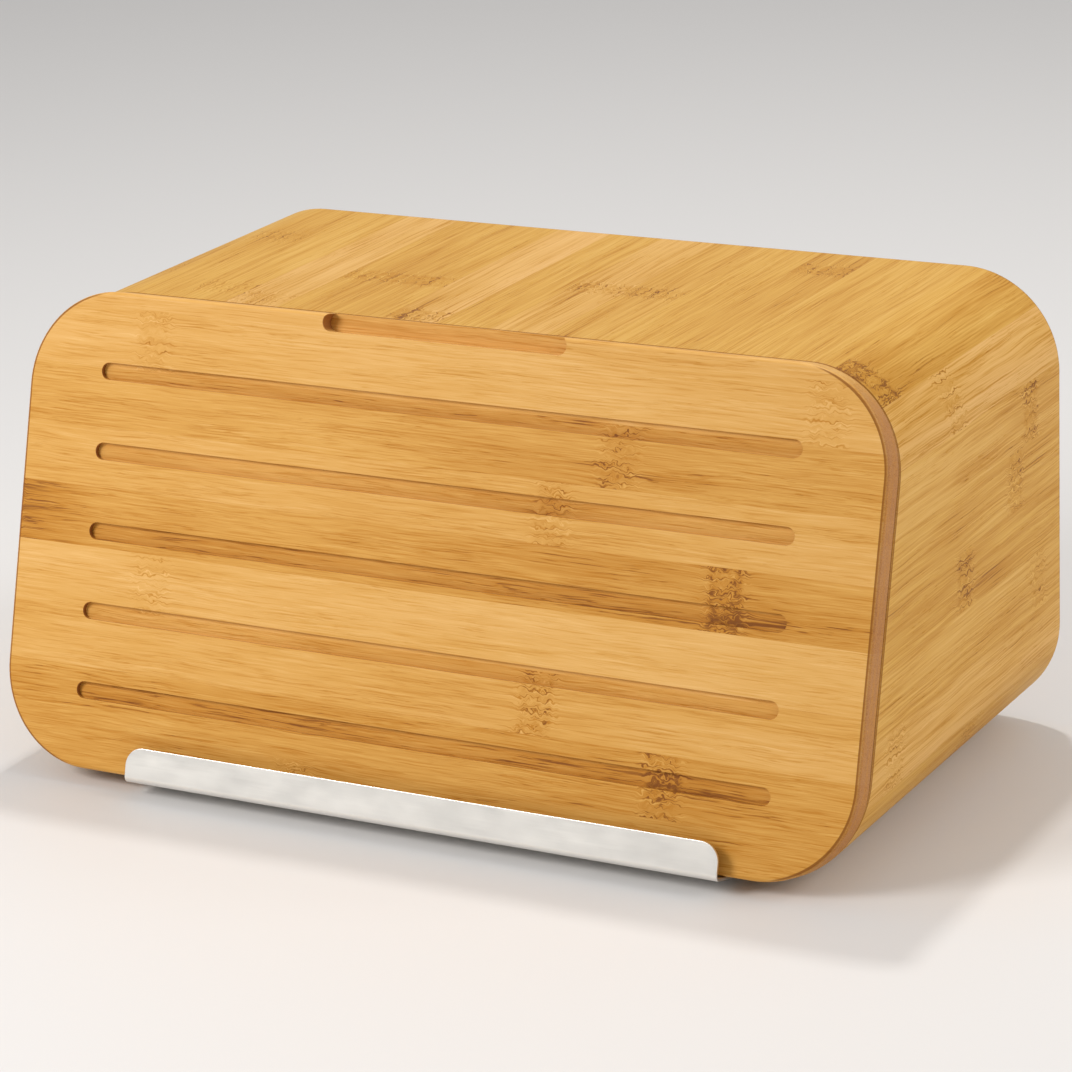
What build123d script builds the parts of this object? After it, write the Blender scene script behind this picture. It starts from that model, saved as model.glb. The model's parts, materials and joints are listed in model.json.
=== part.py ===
"""Bamboo bread box whose slanted front is closed by a loose cutting board.

Frame: +X to the box's right, +Y to its rear, +Z up. The origin is on the surface that the feet
stand on, midway across the width and midway between the steel lip's nose and the rear edge.
Sizes are in millimetres.
"""
from build123d import *
import os
from math import cos, radians, sin, tan

# Shell: a bent bamboo tube, rounded-rectangular in section, with its front cut on a slant
BODY_WIDTH = 380.0
BODY_HEIGHT = 186.5
BASE_DEPTH = 203.0
CORNER_RADIUS = 40.0
SHELL_WALL = 8.0
FRONT_SLANT_DEG = 15.7
RIM_ARRIS = 1.0
REAR_ARRIS = 1.8

# Floor panel: closes the wrap on the underside, tongued into its two ends
WRAP_STUB = 45.0
TONGUE_REACH = 6.0
TONGUE_THICKNESS = 3.0
GLUE_GAP = 0.05

# Rear panel: held in a groove that runs round the inside of the shell
REAR_PANEL_THICKNESS = 7.0
REAR_PANEL_INSET = 5.0
REAR_GROOVE_DEPTH = 3.0
VENT_COUNT = 7
VENT_DIAMETER = 9.0
VENT_PITCH = 26.0
VENT_DROP = 46.0

# Lid: a cutting board with the shell's outline
LID_THICKNESS = 11.0
LID_ARRIS = 1.8
LID_GAP = 0.3
GROOVE_COUNT = 5
GROOVE_WIDTH = 7.0
GROOVE_DEPTH = 2.2
GROOVE_FLOOR_RADIUS = 1.5
GROOVE_PITCH = 32.4
GROOVE_END_MARGIN = 34.8
RECESS_LENGTH = 108.0
RECESS_HEIGHT = 7.0
RECESS_DEPTH = 6.5
RECESS_RUNOUT = 0.4
RECESS_FLOOR_RADIUS = 2.0

# Steel lip: plate under the shell, ledge under the lid, flange in front of it
SHEET = 1.2
LIP_LEFT_MARGIN = 65.0
LIP_RIGHT_MARGIN = 51.0
LIP_CHANNEL_GAP = 4.8
FLANGE_HEIGHT = 14.5
FLANGE_CORNER_RADIUS = 7.5
PLATE_DEPTH = 26.0
PLATE_CORNER_RADIUS = 4.0
LIP_BEND_RADIUS = 1.5
LEDGE_BEND_RADIUS = 3.0

# Countersunk screws that hold the lip to the floor panel
LIP_SCREW_COUNT = 4
LIP_SCREW_DIAMETER = 3.0
LIP_SCREW_HEAD_DIAMETER = 6.0
LIP_SCREW_SETBACK = 10.0
LIP_SCREW_SIDE_MARGIN = 15.0
SCREW_TIP_COVER = 2.0

# Rubber feet and the pan-head screws inside them
FOOT_HEIGHT = 4.0
FOOT_TOP_DIAMETER = 16.0
FOOT_TREAD_DIAMETER = 14.0
FOOT_ARRIS = 0.8
FOOT_SIDE_MARGIN = 1.5
FOOT_PLATE_CLEARANCE = 4.0
FOOT_REAR_SETBACK = 24.0
FOOT_WEB = 1.6
FOOT_SCREW_DIAMETER = 3.0
FOOT_SCREW_HEAD_DIAMETER = 6.0
FOOT_SCREW_HEAD_HEIGHT = 1.5
FOOT_BORE_CLEARANCE = 0.6

# Cross recess in every screw head
CROSS_SPAN = 3.4
CROSS_WIDTH = 0.8
CROSS_DEPTH = 0.9

# Derived values
SLANT = radians(FRONT_SLANT_DEG)
LID_HEIGHT = BODY_HEIGHT / cos(SLANT)
FLOOR_PANEL_WIDTH = BODY_WIDTH - 2 * (CORNER_RADIUS + WRAP_STUB)
SCREW_BITE = SHELL_WALL - SCREW_TIP_COVER
LIP_LENGTH = BODY_WIDTH - LIP_LEFT_MARGIN - LIP_RIGHT_MARGIN
LIP_CENTRE_X = (LIP_LEFT_MARGIN - LIP_RIGHT_MARGIN) / 2
LIP_OUTER = LID_GAP + LID_THICKNESS + LIP_CHANNEL_GAP + SHEET
LEDGE_TOP = -LID_GAP
LEDGE_UNDER = LEDGE_TOP - SHEET
BEND_OUTER = LIP_BEND_RADIUS + SHEET
NOSE_REACH = (LIP_OUTER - BEND_OUTER) * cos(SLANT) - (LEDGE_UNDER + BEND_OUTER) * sin(SLANT) + BEND_OUTER
OVERALL_DEPTH = BASE_DEPTH + NOSE_REACH
REAR_Y = OVERALL_DEPTH / 2
RIM_Y = REAR_Y - BASE_DEPTH
BASE_Z = FOOT_HEIGHT
TOP_Z = BASE_Z + BODY_HEIGHT
CLEAR = 20.0
FROM_BASE = (Align.CENTER, Align.CENTER, Align.MIN)
FROM_TOP = (Align.CENTER, Align.CENTER, Align.MAX)

# Plane of the rim: local x across, local y up the slant, local z out towards the lid
RIM_PLANE = Plane(
    origin=(0, RIM_Y, BASE_Z), x_dir=(1, 0, 0), z_dir=(0, -cos(SLANT), sin(SLANT))
)


def along_y(section, start, end):
    """Extrude a section drawn in X and Z from y = start to y = end."""
    return extrude(Plane(origin=(0, start, 0), x_dir=(1, 0, 0), z_dir=(0, -1, 0)) * section, start - end)


def rounded_section(inset):
    """The shell's outline, brought in by inset, as a sketch in X and Z."""
    width = BODY_WIDTH - 2 * inset
    height = BODY_HEIGHT - 2 * inset
    outline = RectangleRounded(width, height, CORNER_RADIUS - inset)
    return Pos(0, BASE_Z + BODY_HEIGHT / 2) * outline


def behind_rim(shape):
    """The part of a shape behind the slanted rim plane."""
    return split(shape, bisect_by=RIM_PLANE, keep=Keep.BOTTOM)


def block(x_low, x_high, y_low, y_high, z_low, z_high):
    """A box between two corners."""
    size = (x_high - x_low, y_high - y_low, z_high - z_low)
    return Pos(x_low, y_low, z_low) * Box(*size, align=(Align.MIN,) * 3)


def nearest_vertex(sketch, point):
    """The corner of a sketch that lies nearest to a point given in its own plane."""
    return sketch.vertices().sort_by_distance(point)[0]


def rear_panel_range():
    """Front and rear y of the rear panel."""
    rear = REAR_Y - REAR_PANEL_INSET
    return rear - REAR_PANEL_THICKNESS, rear


def foot_places():
    """Name and centre of each foot on the underside."""
    reach = BODY_WIDTH / 2 - CORNER_RADIUS - FOOT_TOP_DIAMETER / 2 - FOOT_SIDE_MARGIN
    front = RIM_Y + PLATE_DEPTH + FOOT_PLATE_CLEARANCE + FOOT_TOP_DIAMETER / 2
    rows = {"front": front, "rear": REAR_Y - FOOT_REAR_SETBACK}
    sides = {"left": -reach, "right": reach}
    return {f"foot_{row}_{side}": (x, y) for row, y in rows.items() for side, x in sides.items()}


def lip_screw_places():
    """Centres of the screws that hold the lip, in a row along it."""
    span = FLOOR_PANEL_WIDTH - 2 * LIP_SCREW_SIDE_MARGIN
    step = span / (LIP_SCREW_COUNT - 1)
    y = RIM_Y + PLATE_DEPTH - LIP_SCREW_SETBACK
    return [(step * i - span / 2, y) for i in range(LIP_SCREW_COUNT)]


def drilled(shape, places, diameter):
    """Drill pilot holes up into the underside."""
    hole = Cylinder(diameter / 2, SCREW_BITE, align=FROM_BASE)
    for x, y in places:
        shape -= Pos(x, y, BASE_Z) * hole
    return shape


def tube():
    """The whole rounded tube with its slanted rim, before it is parted on the underside."""
    outer = behind_rim(along_y(rounded_section(0), RIM_Y - CLEAR, REAR_Y))
    rear_face = outer.faces().sort_by(Axis.Y)[-1]
    outer = fillet(rear_face.edges(), REAR_ARRIS)
    rim_face = outer.faces().filter_by(lambda f: f.center().Y < 0).sort_by_distance(
        RIM_PLANE.from_local_coords((0, LID_HEIGHT / 2, 0)))[0]
    outer = fillet(rim_face.edges(), RIM_ARRIS)
    cavity = along_y(rounded_section(SHELL_WALL), RIM_Y - CLEAR, REAR_Y + CLEAR)
    front, rear = rear_panel_range()
    groove = along_y(rounded_section(SHELL_WALL - REAR_GROOVE_DEPTH), front - GLUE_GAP, rear + GLUE_GAP)
    return outer - cavity - groove


def floor_zone(grow, tongue_grow):
    """Space of the floor panel with its tongues, widened by the given gaps."""
    half = FLOOR_PANEL_WIDTH / 2 + grow
    reach = FLOOR_PANEL_WIDTH / 2 + TONGUE_REACH + tongue_grow
    middle = BASE_Z + SHELL_WALL / 2
    thick = TONGUE_THICKNESS / 2 + tongue_grow
    y_low, y_high = RIM_Y - CLEAR, REAR_Y + CLEAR
    panel = block(-half, half, y_low, y_high, BASE_Z - CLEAR, BASE_Z + SHELL_WALL + CLEAR)
    return panel + block(-reach, reach, y_low, y_high, middle - thick, middle + thick)


def make_shell(whole):
    """Bamboo wrap: top, sides and the four bends, open along the underside."""
    wrap = whole - floor_zone(GLUE_GAP, GLUE_GAP)
    return drilled(wrap, foot_places().values(), FOOT_SCREW_DIAMETER)


def make_floor_panel(whole):
    """Bamboo strip that closes the wrap on the underside."""
    lower_half = block(-BODY_WIDTH, BODY_WIDTH, RIM_Y - CLEAR, REAR_Y + CLEAR, 0, BASE_Z + SHELL_WALL)
    panel = whole & lower_half & floor_zone(0, 0)
    return drilled(panel, lip_screw_places(), LIP_SCREW_DIAMETER)


def make_rear_panel():
    """Flat bamboo back, housed in the shell's groove, with a row of air holes."""
    front, rear = rear_panel_range()
    panel = along_y(rounded_section(SHELL_WALL - REAR_GROOVE_DEPTH + GLUE_GAP), front, rear)
    hole_z = TOP_Z - VENT_DROP
    for i in range(VENT_COUNT):
        x = (i - (VENT_COUNT - 1) / 2) * VENT_PITCH
        panel -= along_y(Pos(x, hole_z) * Circle(VENT_DIAMETER / 2), front - CLEAR, rear + CLEAR)
    return panel


def groove_cutter():
    """Round-ended cutter for one crumb groove, its mouth at local z = 0."""
    length = BODY_WIDTH - 2 * GROOVE_END_MARGIN
    cutter = extrude(SlotOverall(length, GROOVE_WIDTH), -GROOVE_DEPTH)
    floor_edges = cutter.faces().sort_by(Axis.Z)[0].edges()
    return fillet(floor_edges, GROOVE_FLOOR_RADIUS) + extrude(SlotOverall(length, GROOVE_WIDTH), CLEAR)


def recess_cutter():
    """Cutter for the finger recess: round-ended, its upper side just past the top edge."""
    height = RECESS_HEIGHT + RECESS_RUNOUT
    outline = Pos(0, RECESS_RUNOUT - height / 2) * SlotOverall(RECESS_LENGTH, height)
    cutter = extrude(outline, -RECESS_DEPTH)
    floor_edges = cutter.faces().sort_by(Axis.Z)[0].edges()
    return fillet(floor_edges, RECESS_FLOOR_RADIUS) + extrude(outline, CLEAR)


def make_lid_board():
    """Cutting board with crumb grooves and a finger recess in its top front edge."""
    blank = Pos(0, LID_HEIGHT / 2) * RectangleRounded(BODY_WIDTH, LID_HEIGHT, CORNER_RADIUS)
    board = extrude(Pos(0, 0, LID_GAP) * blank, LID_THICKNESS)
    flat_faces = board.faces().filter_by(Axis.Z)
    board = fillet(flat_faces.edges(), LID_ARRIS)
    face_z = LID_GAP + LID_THICKNESS
    for i in range(GROOVE_COUNT):
        height = LID_HEIGHT / 2 + (i - (GROOVE_COUNT - 1) / 2) * GROOVE_PITCH
        board -= Pos(0, height, face_z) * groove_cutter()
    board -= Pos(0, LID_HEIGHT, face_z) * recess_cutter()
    return RIM_PLANE * board


def rim_point(out, up):
    """Point in Y and Z that lies out in front of the rim plane and up along the slant."""
    return (
        RIM_Y - out * cos(SLANT) + up * sin(SLANT),
        BASE_Z + out * sin(SLANT) + up * cos(SLANT),
    )


def lip_profile():
    """Bent section of the lip in Y and Z."""
    upper_out = -LEDGE_TOP / tan(SLANT)
    upper_bend = rim_point(upper_out, LEDGE_TOP)
    under_bend = (upper_bend[0] - SHEET * tan(SLANT / 2), BASE_Z - SHEET)
    inner_corner = rim_point(LIP_OUTER - SHEET, LEDGE_TOP)
    outer_corner = rim_point(LIP_OUTER, LEDGE_UNDER)
    flange_top = LEDGE_UNDER + FLANGE_HEIGHT
    points = [
        (RIM_Y + PLATE_DEPTH, BASE_Z),
        upper_bend,
        inner_corner,
        rim_point(LIP_OUTER - SHEET, flange_top),
        rim_point(LIP_OUTER, flange_top),
        outer_corner,
        under_bend,
        (RIM_Y + PLATE_DEPTH, BASE_Z - SHEET),
    ]
    profile = make_face(Polyline(*points, close=True))
    bends = [
        (upper_bend, LEDGE_BEND_RADIUS + SHEET),
        (under_bend, LEDGE_BEND_RADIUS),
        (inner_corner, LIP_BEND_RADIUS),
        (outer_corner, BEND_OUTER),
    ]
    for point, radius in bends:
        profile = fillet(nearest_vertex(profile, (*point, 0)), radius)
    return profile


def make_lip_bracket():
    """Folded stainless sheet that the lid stands in."""
    start = LIP_CENTRE_X - LIP_LENGTH / 2
    lip = extrude(Plane(origin=(start, 0, 0), x_dir=(0, 1, 0), z_dir=(1, 0, 0)) * lip_profile(), LIP_LENGTH)
    across_flange = Axis((0, 0, 0), RIM_PLANE.z_dir)
    lip = fillet(lip.edges().filter_by(across_flange).sort_by(Axis.Z)[-2:], FLANGE_CORNER_RADIUS)
    lip = fillet(lip.edges().filter_by(Axis.Z).sort_by(Axis.Y)[-2:], PLATE_CORNER_RADIUS)
    for x, y in lip_screw_places():
        lip -= Pos(x, y, BASE_Z - SHEET) * countersunk_screw(crossed=False)
    return lip


def cross_cutter():
    """Cross recess, cut upwards from z = 0."""
    long_way = Box(CROSS_SPAN, CROSS_WIDTH, CROSS_DEPTH, align=FROM_BASE)
    return long_way + Rot(0, 0, 90) * long_way


def countersunk_screw(crossed=True):
    """Countersunk screw pointing up, its flat head at z = 0."""
    head_radius = LIP_SCREW_HEAD_DIAMETER / 2
    shank_radius = LIP_SCREW_DIAMETER / 2
    cone = Cone(head_radius, shank_radius, SHEET, align=FROM_BASE)
    shank = Cylinder(shank_radius, SHEET + SCREW_BITE, align=FROM_BASE)
    screw = cone + shank
    return screw - cross_cutter() if crossed else screw


def pan_head_screw():
    """Pan-head screw pointing up, the underside of its head at z = 0."""
    head = Cylinder(FOOT_SCREW_HEAD_DIAMETER / 2, FOOT_SCREW_HEAD_HEIGHT, align=FROM_TOP)
    head = fillet(head.edges().sort_by(Axis.Z)[0], FOOT_SCREW_HEAD_HEIGHT / 2)
    shank = Cylinder(FOOT_SCREW_DIAMETER / 2, FOOT_WEB + SCREW_BITE, align=FROM_BASE)
    return head + shank - Pos(0, 0, -FOOT_SCREW_HEAD_HEIGHT) * cross_cutter()


def make_foot():
    """Rubber foot with its tread at z = 0, bored for its screw."""
    foot = Cone(FOOT_TREAD_DIAMETER / 2, FOOT_TOP_DIAMETER / 2, FOOT_HEIGHT, align=FROM_BASE)
    foot = fillet(foot.edges().sort_by(Axis.Z)[0], FOOT_ARRIS)
    pocket_radius = (FOOT_SCREW_HEAD_DIAMETER + FOOT_BORE_CLEARANCE) / 2
    foot -= Cylinder(pocket_radius, FOOT_HEIGHT - FOOT_WEB, align=FROM_BASE)
    return foot - Cylinder(FOOT_SCREW_DIAMETER / 2, FOOT_HEIGHT, align=FROM_BASE)


def build_parts():
    """Every piece by its node name."""
    whole = tube()
    feet = foot_places()
    parts = {
        "shell": make_shell(whole),
        "floor_panel": make_floor_panel(whole),
        "rear_panel": make_rear_panel(),
        "lid_board": make_lid_board(),
        "lip_bracket": make_lip_bracket(),
        "lip_screws": Compound(
            children=[Pos(x, y, BASE_Z - SHEET) * countersunk_screw() for x, y in lip_screw_places()]),
        "foot_screws": Compound(
            children=[Pos(x, y, BASE_Z - FOOT_WEB) * pan_head_screw() for x, y in feet.values()]),
    }
    for name, (x, y) in feet.items():
        parts[name] = Pos(x, y, 0) * make_foot()
    return parts


def main():
    os.makedirs("parts", exist_ok=True)
    for name, shape in build_parts().items():
        export_step(shape, f"parts/{name}.step")


main()
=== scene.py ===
"""Bamboo bread box whose slanted front is closed by a loose cutting board in a folded steel lip.

The script is laid out as an add-on: sizes and finishes in property groups, one operator for each
piece, one for the stage, and a panel that lists them. Run as a script, it builds the whole box.
Sizes are in metres. Every bamboo piece carries an attribute named grain that holds, for each of its
points, the way along the fibres, the way across the glued strips and the depth below the face.
"""
import json
import math

import bmesh
import bpy
from mathutils import Matrix, Vector


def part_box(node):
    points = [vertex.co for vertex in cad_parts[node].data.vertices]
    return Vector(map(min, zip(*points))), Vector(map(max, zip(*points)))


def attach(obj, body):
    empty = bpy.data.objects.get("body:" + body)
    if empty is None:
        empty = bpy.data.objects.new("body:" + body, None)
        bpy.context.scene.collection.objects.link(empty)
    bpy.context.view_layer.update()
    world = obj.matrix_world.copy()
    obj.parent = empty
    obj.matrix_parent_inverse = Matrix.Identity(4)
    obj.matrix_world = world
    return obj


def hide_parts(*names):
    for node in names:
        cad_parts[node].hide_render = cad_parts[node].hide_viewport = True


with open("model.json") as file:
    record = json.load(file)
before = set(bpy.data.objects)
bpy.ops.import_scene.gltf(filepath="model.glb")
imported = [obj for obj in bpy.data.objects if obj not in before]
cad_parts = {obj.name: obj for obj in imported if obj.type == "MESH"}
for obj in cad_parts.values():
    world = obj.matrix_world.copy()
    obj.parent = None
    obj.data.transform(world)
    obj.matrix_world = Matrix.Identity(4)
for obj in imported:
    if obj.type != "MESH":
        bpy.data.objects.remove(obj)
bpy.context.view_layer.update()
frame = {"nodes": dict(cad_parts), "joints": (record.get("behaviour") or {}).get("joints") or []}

bl_info = {
    "name": "Bread Box with Cutting-Board Lid",
    "version": (1, 0, 0),
    "blender": (4, 5, 0),
    "location": "3D View > Sidebar > Bread Box",
    "description": "Builds a bamboo bread box with a cutting-board lid and a folded steel lip",
    "category": "Object",
}

SHELL_LOW, SHELL_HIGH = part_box("shell")
PANEL_LOW, PANEL_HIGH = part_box("rear_panel")
FLOOR_LOW, FLOOR_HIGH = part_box("floor_panel")
LIP_LOW, LIP_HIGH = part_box("lip_bracket")
LIFT = Vector(frame["joints"][0]["axis"]).normalized()
SLANT = math.atan2(LIFT.y, LIFT.z)
ACROSS = Vector((1, 0, 0))
TO_REAR = Vector((0, 1, 0))
UPWARD = Vector((0, 0, 1))
OUTWARD = Vector((0, -math.cos(SLANT), math.sin(SLANT)))
FEET = ("foot_front_left", "foot_front_right", "foot_rear_left", "foot_rear_right")
MM = 0.001

# Width of one glued strip.
STRIP = 0.0243

# How far a cutter stands clear, how far a blank runs on past its cut, and how long a drill is.
CLEAR = 0.01
OVERRUN = 0.02
DRILL = 0.02

# How close two points count as one, and how close corners melt into one.
TOUCH = 1e-5
MELT = 2e-6

# How far a piece may be out at its ends, how well a direction has to agree, and how much of the
# half-width a slot's end is rounded, a hair short of all.
FIT = 0.0006
ALIGNED = 0.999
NEARLY = 0.9999

# How many flats make up each kind of rounding.
BEND_STEPS = 24
SLOT_STEPS = 12
ARRIS_STEPS = 4
FINE_STEPS = 2


# ---- sizes and finishes


def size(name, description, default, low=0.0):
    """A length that a user may change."""
    return bpy.props.FloatProperty(
        name=name, description=description, default=default, min=low, unit="LENGTH", precision=4)


def number(name, description, default, low=0.0):
    """A plain number."""
    return bpy.props.FloatProperty(name=name, description=description, default=default, min=low)


def count(name, description, default):
    """How many of a thing there are."""
    return bpy.props.IntProperty(name=name, description=description, default=default, min=1)


def tone(name, description, default):
    """A colour, in scene-linear red, green and blue."""
    return bpy.props.FloatVectorProperty(
        name=name, description=description, default=default, size=3, min=0, max=1, subtype="COLOR")


class BreadBoxBody(bpy.types.PropertyGroup):
    """Sizes of the bent shell, its floor and its back."""

    depth: size("Depth", "From the foot of the slanted rim to the rear edge", 0.203)
    corner: size("Corner radius", "Outer radius of the four bends", 0.040)
    wall: size("Wall", "Thickness of the bent bamboo", 0.008)
    rim_arris: size("Rim arris", "Rounding of the slanted rim's outer edge", 0.001)
    rear_arris: size("Rear arris", "Rounding of the rear outer edge", 0.0018)
    inner_arris: size("Inner arris", "Rounding of the inner edges", 0.0005)
    stub: size("Stub", "How far the wrap runs on under the box past each bend", 0.045)
    tongue: size("Tongue", "Thickness of the floor panel's tongues", 0.003)
    glue_gap: size("Glue gap", "Room left for glue", 0.00005)
    back_groove: size("Back groove", "Depth of the groove that holds the back", 0.003)
    vents: count("Air holes", "Number of air holes in the back", 7)
    vent_width: size("Air hole width", "Diameter of an air hole", 0.009)
    vent_spacing: size("Air hole spacing", "From one air hole to the next", 0.026)
    vent_drop: size("Air hole drop", "From the top of the box down to the air holes", 0.046)
    pilot: size("Pilot hole", "Diameter of a screw's pilot hole", 0.003)
    bite: size("Screw bite", "Depth of a screw's pilot hole", 0.006)


class BreadBoxBoard(bpy.types.PropertyGroup):
    """Sizes of the cutting board that closes the front."""

    thickness: size("Thickness", "Thickness of the board", 0.011)
    gap: size("Gap", "Between the board and the rim, and under the board", 0.0003)
    arris: size("Arris", "Rounding of the board's long edges", 0.0018)
    fine_arris: size("Fine arris", "Sanding of the mouths of the grooves", 0.00045)
    grooves: count("Grooves", "Number of crumb grooves", 5)
    groove_width: size("Groove width", "Width of a crumb groove", 0.007)
    groove_depth: size("Groove depth", "Depth of a crumb groove", 0.0022)
    groove_floor: size("Groove floor radius", "Rounding along a groove's floor", 0.0015)
    groove_spacing: size("Groove spacing", "From one groove to the next", 0.0324)
    groove_margin: size("Groove margin", "From a groove's end to the board's side", 0.0348)
    recess_length: size("Recess length", "Length of the finger recess", 0.108)
    recess_height: size("Recess height", "Height of the finger recess", 0.007)
    recess_depth: size("Recess depth", "Depth of the finger recess", 0.0065)
    recess_runout: size("Recess runout", "How far the recess's cut passes over the top edge", 0.0004)
    recess_floor: size("Recess floor radius", "Rounding along the recess's floor", 0.002)


class BreadBoxLip(bpy.types.PropertyGroup):
    """Sizes of the folded steel lip."""

    sheet: size("Sheet", "Thickness of the steel", 0.0012)
    channel: size("Channel gap", "Spare width of the channel that the board stands in", 0.0048)
    flange: size("Flange", "Height of the flange in front of the board", 0.0145)
    flange_corner: size("Flange corner", "Radius of the flange's top corners", 0.0075)
    plate: size("Plate", "How far the plate runs under the box", 0.026)
    plate_corner: size("Plate corner", "Radius of the plate's rear corners", 0.004)
    fold: size("Fold radius", "Inner radius of the fold at the flange", 0.0015)
    ledge_bend: size("Ledge bend", "Inner radius of the bend at the ledge", 0.003)
    burr: size("Deburring", "Rounding of the sheet's edges", 0.0002)
    head: size("Screw head", "Diameter of a countersunk screw's head", 0.006)
    head_gap: size("Head gap", "Gap around a screw's head", 0.0001)


class BreadBoxFeet(bpy.types.PropertyGroup):
    """Sizes of the rubber feet."""

    tread: size("Tread", "Diameter at the bottom", 0.014)
    edge: size("Edge", "Rounding of the tread's edge", 0.0008)
    pocket: size("Pocket", "Diameter of the screw pocket", 0.0066)
    web: size("Web", "Rubber left above the screw's head", 0.0016)
    bore: size("Bore", "Diameter of the bore for the screw", 0.003)


class BreadBoxBamboo(bpy.types.PropertyGroup):
    """Colours and scale of the bamboo."""

    strip: size("Strip width", "Width of one glued strip", STRIP)
    # Pale also paints the highlight along the board's long arrises.
    pale: tone("Pale", "Lightest fibres", (0.78, 0.465, 0.155))
    honey: tone("Honey", "Middle tone", (0.66, 0.345, 0.075))
    caramel: tone("Caramel", "Darker strips and streaks", (0.50, 0.205, 0.020))
    # Umber also paints the shade lines along the arrises and at the ends of the slots.
    umber: tone("Umber", "Knuckles and pores", (0.24, 0.078, 0.008))
    # Blush tints pinkish strips, and also paints a sheen on the wrap's strip over the top right bend.
    blush_and_sheen: tone("Blush", "Pinkish strips", (0.80, 0.44, 0.215))
    end: tone("End grain", "Cut ends of the fibres", (0.38, 0.165, 0.065))


class BreadBoxMetal(bpy.types.PropertyGroup):
    """Colours of the steel and the rubber."""

    steel: tone("Steel", "Colour of the satin sheet", (0.86, 0.84, 0.80))
    screw: tone("Screw", "Colour of the screws", (0.62, 0.61, 0.58))
    rubber: tone("Rubber", "Colour of the feet", (0.035, 0.034, 0.033))


class BreadBoxStage(bpy.types.PropertyGroup):
    """Floor, lights and camera."""

    floor: tone("Floor", "Colour of the floor", (0.725, 0.715, 0.715))
    air: number("Surroundings", "Strength of the light from all round", 0.50)
    key: number("Key lamp", "Power of the lamp overhead", 10.3)
    fill: number("Fill lamp", "Power of the lamp in front", 17.0)
    side: number("Side lamp", "Power of the lamp at the right", 11.5)
    lens: number("Lens", "Focal length of the camera in millimetres", 135.08, 1.0)


def settings(group):
    """The settings of one property group of the scene in hand."""
    return getattr(bpy.context.scene, f"bread_box_{group}")


# ---- bench work


def put_down():
    """Leave nothing selected, so that an operator acts only on what comes next."""
    if bpy.context.object and bpy.context.object.mode != "OBJECT":
        bpy.ops.object.mode_set(mode="OBJECT")
    bpy.ops.object.select_all(action="DESELECT")


def pick_up(*pieces):
    """Select these pieces alone, the last one active."""
    put_down()
    for piece in pieces:
        piece.select_set(True)
    bpy.context.view_layer.objects.active = pieces[-1]


def settle(piece):
    """Put a piece's place, turn and scale into its mesh."""
    pick_up(piece)
    bpy.ops.object.transform_apply(location=True, rotation=True, scale=True)


def named(name):
    """Name the piece that has just been added, and settle it."""
    piece = bpy.context.object
    piece.name = name
    piece.data.name = name
    settle(piece)
    return piece


def blank(name, low, high):
    """A rectangular blank between two corners."""
    low, high = Vector(low), Vector(high)
    put_down()
    bpy.ops.mesh.primitive_cube_add(size=1, location=(low + high) / 2, scale=high - low)
    return named(name)


def peg(name, centre, radius, length, turn=(0, 0, 0), sides=32):
    """A round peg, upright unless it is turned."""
    put_down()
    bpy.ops.mesh.primitive_cylinder_add(
        vertices=sides, radius=radius, depth=length, location=centre, rotation=turn)
    return named(name)


def work_on(piece):
    """Go into edit mode on one piece, with nothing selected."""
    pick_up(piece)
    bpy.ops.object.mode_set(mode="EDIT")
    bpy.ops.mesh.select_all(action="DESELECT")


def choose(piece, kind, wanted):
    """In edit mode, select the faces, edges or corners that pass a test."""
    bpy.ops.mesh.select_mode(type=kind)
    bpy.ops.mesh.select_all(action="DESELECT")
    shape = bmesh.from_edit_mesh(piece.data)
    parts = {"FACE": shape.faces, "EDGE": shape.edges, "VERT": shape.verts}[kind]
    found = [part for part in parts if wanted(part)]
    if not found:
        raise RuntimeError(f"{piece.name}: no {kind.lower()} passes the test")
    for part in found:
        part.select_set(True)
    shape.select_flush_mode()
    bmesh.update_edit_mesh(piece.data)


def middle(edge):
    """Middle point of an edge."""
    return (edge.verts[0].co + edge.verts[1].co) / 2


def centre_of(face):
    """Middle point of a face."""
    return face.calc_center_median()


def runs(edge, way):
    """Whether an edge runs along a direction."""
    return abs((edge.verts[1].co - edge.verts[0].co).normalized().dot(way)) > ALIGNED


def faces_way(face, way):
    """Whether a face looks along a direction."""
    return face.normal.dot(way) > ALIGNED


def sharp(edge, degrees=60):
    """Whether two faces meet at an edge at more than an angle."""
    return len(edge.link_faces) == 2 and edge.calc_face_angle() > math.radians(degrees)


def bevel(width, steps, affect="EDGES"):
    """Round what is selected."""
    bpy.ops.mesh.bevel(
        offset=width, offset_type="OFFSET", segments=steps, profile=0.5, affect=affect, clamp_overlap=True)


def round_off(piece, kind, width, steps, wanted):
    """Round the edges, or the borders of the faces, that pass a test."""
    work_on(piece)
    choose(piece, kind, wanted)
    bevel(width, steps)
    put_down()


def round_corners(piece, way, radius, steps):
    """Round the four edges of a blank that run one way."""
    round_off(piece, "EDGE", radius, steps, lambda edge: runs(edge, way))


def carry_out(piece, kind, **facts):
    """Add a modifier to a piece and apply it."""
    pick_up(piece)
    modifier = piece.modifiers.new(kind.title(), kind)
    for name, value in facts.items():
        setattr(modifier, name, value)
    bpy.ops.object.modifier_apply(modifier=modifier.name)


def cut(piece, cutter):
    """Cut one shape out of another and throw the cutter away."""
    carry_out(piece, "BOOLEAN", operation="DIFFERENCE", solver="EXACT", object=cutter)
    bpy.data.objects.remove(cutter)


def close_slivers(piece):
    """Fill the hair-thin gaps that cuts through rounded edges can leave."""
    work_on(piece)
    bpy.ops.mesh.select_mode(type="EDGE")
    bpy.ops.mesh.select_non_manifold(extend=False)
    bpy.ops.mesh.fill_holes(sides=6)
    put_down()


def gather(pieces):
    """Join several cutters into one."""
    pick_up(*pieces)
    bpy.ops.object.join()
    return bpy.context.object


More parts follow.
